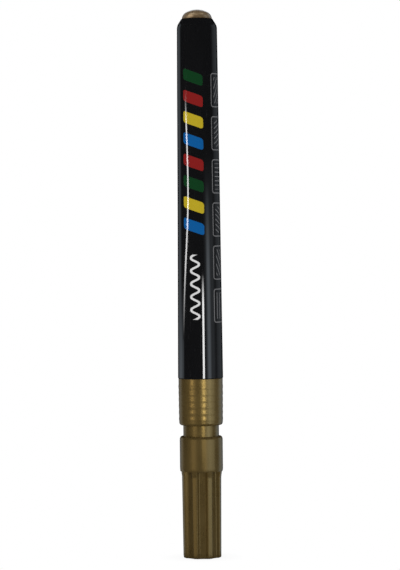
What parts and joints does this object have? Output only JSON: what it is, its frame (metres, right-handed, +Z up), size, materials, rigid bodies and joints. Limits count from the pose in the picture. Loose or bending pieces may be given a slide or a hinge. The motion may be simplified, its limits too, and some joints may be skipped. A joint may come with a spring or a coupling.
{
  "type": "paint marker",
  "caption": "Slim valve-action paint marker with a tapered black sleeved barrel, ringed gold grip, fluted push-on gold cap and domed gold tail plug.",
  "frame": {"origin": "centre of the cap's flat end face, which the marker stands on", "axes": "+Z up the marker's axis from the cap's end to the tail, -Y out of the front of the print, +X to the right of the print"},
  "size_m": [0.0116, 0.0116, 0.14],
  "materials": {
    "gold_plastic": "olive-gold metallic-pigmented moulding, satin",
    "tail_plastic": "tan-gold metallic-pigmented moulding, satin",
    "black_film": "high-gloss printed shrink film",
    "barrel_plastic": "moulded black plastic, semi-matt",
    "liner_plastic": "soft natural moulding",
    "valve_plastic": "natural white moulding",
    "nib_fibre": "pressed fibre stained by gold paint",
    "wadding_fibre": "soft fibre tube",
    "seat_rubber": "moulded rubber",
    "spring_steel": "drawn stainless wire",
    "ball_steel": "polished steel"
  },
  "bodies": {
    "cap": {"cap_shell": "gold_plastic", "inner_cap": "liner_plastic"},
    "pen_body": {"grip_section": "gold_plastic", "overflow_wadding": "wadding_fibre", "nib_guide": "valve_plastic", "valve_seat": "seat_rubber", "valve_spring": "spring_steel", "valve_cage": "valve_plastic", "barrel": "barrel_plastic", "print_sleeve": "black_film", "tail_plug": "tail_plastic"},
    "nib_plunger": {"nib": "nib_fibre", "valve_stem": "valve_plastic"},
    "loose_ball_1": {"mixing_ball_1": "ball_steel"},
    "loose_ball_2": {"mixing_ball_2": "ball_steel"}
  },
  "joints": [
    {"name": "cap_pull", "type": "slide", "parent": "cap", "child": "pen_body", "axis": [0, 0, 1], "range_m": [0, 0.04]},
    {"name": "nib_press", "type": "slide", "parent": "pen_body", "child": "nib_plunger", "axis": [0, 0, 1], "range_m": [0, 0.0012], "stiffness_N_per_m": 600, "springref_m": -0.0015, "deforming": ["valve_spring"]},
    {"name": "ball_1_rattle", "type": "slide", "parent": "pen_body", "child": "loose_ball_1", "axis": [0, 0, 1], "range_m": [0, 0.0725]},
    {"name": "ball_2_rattle", "type": "slide", "parent": "pen_body", "child": "loose_ball_2", "axis": [0, 0, 1], "range_m": [0, 0.0725]}
  ]
}
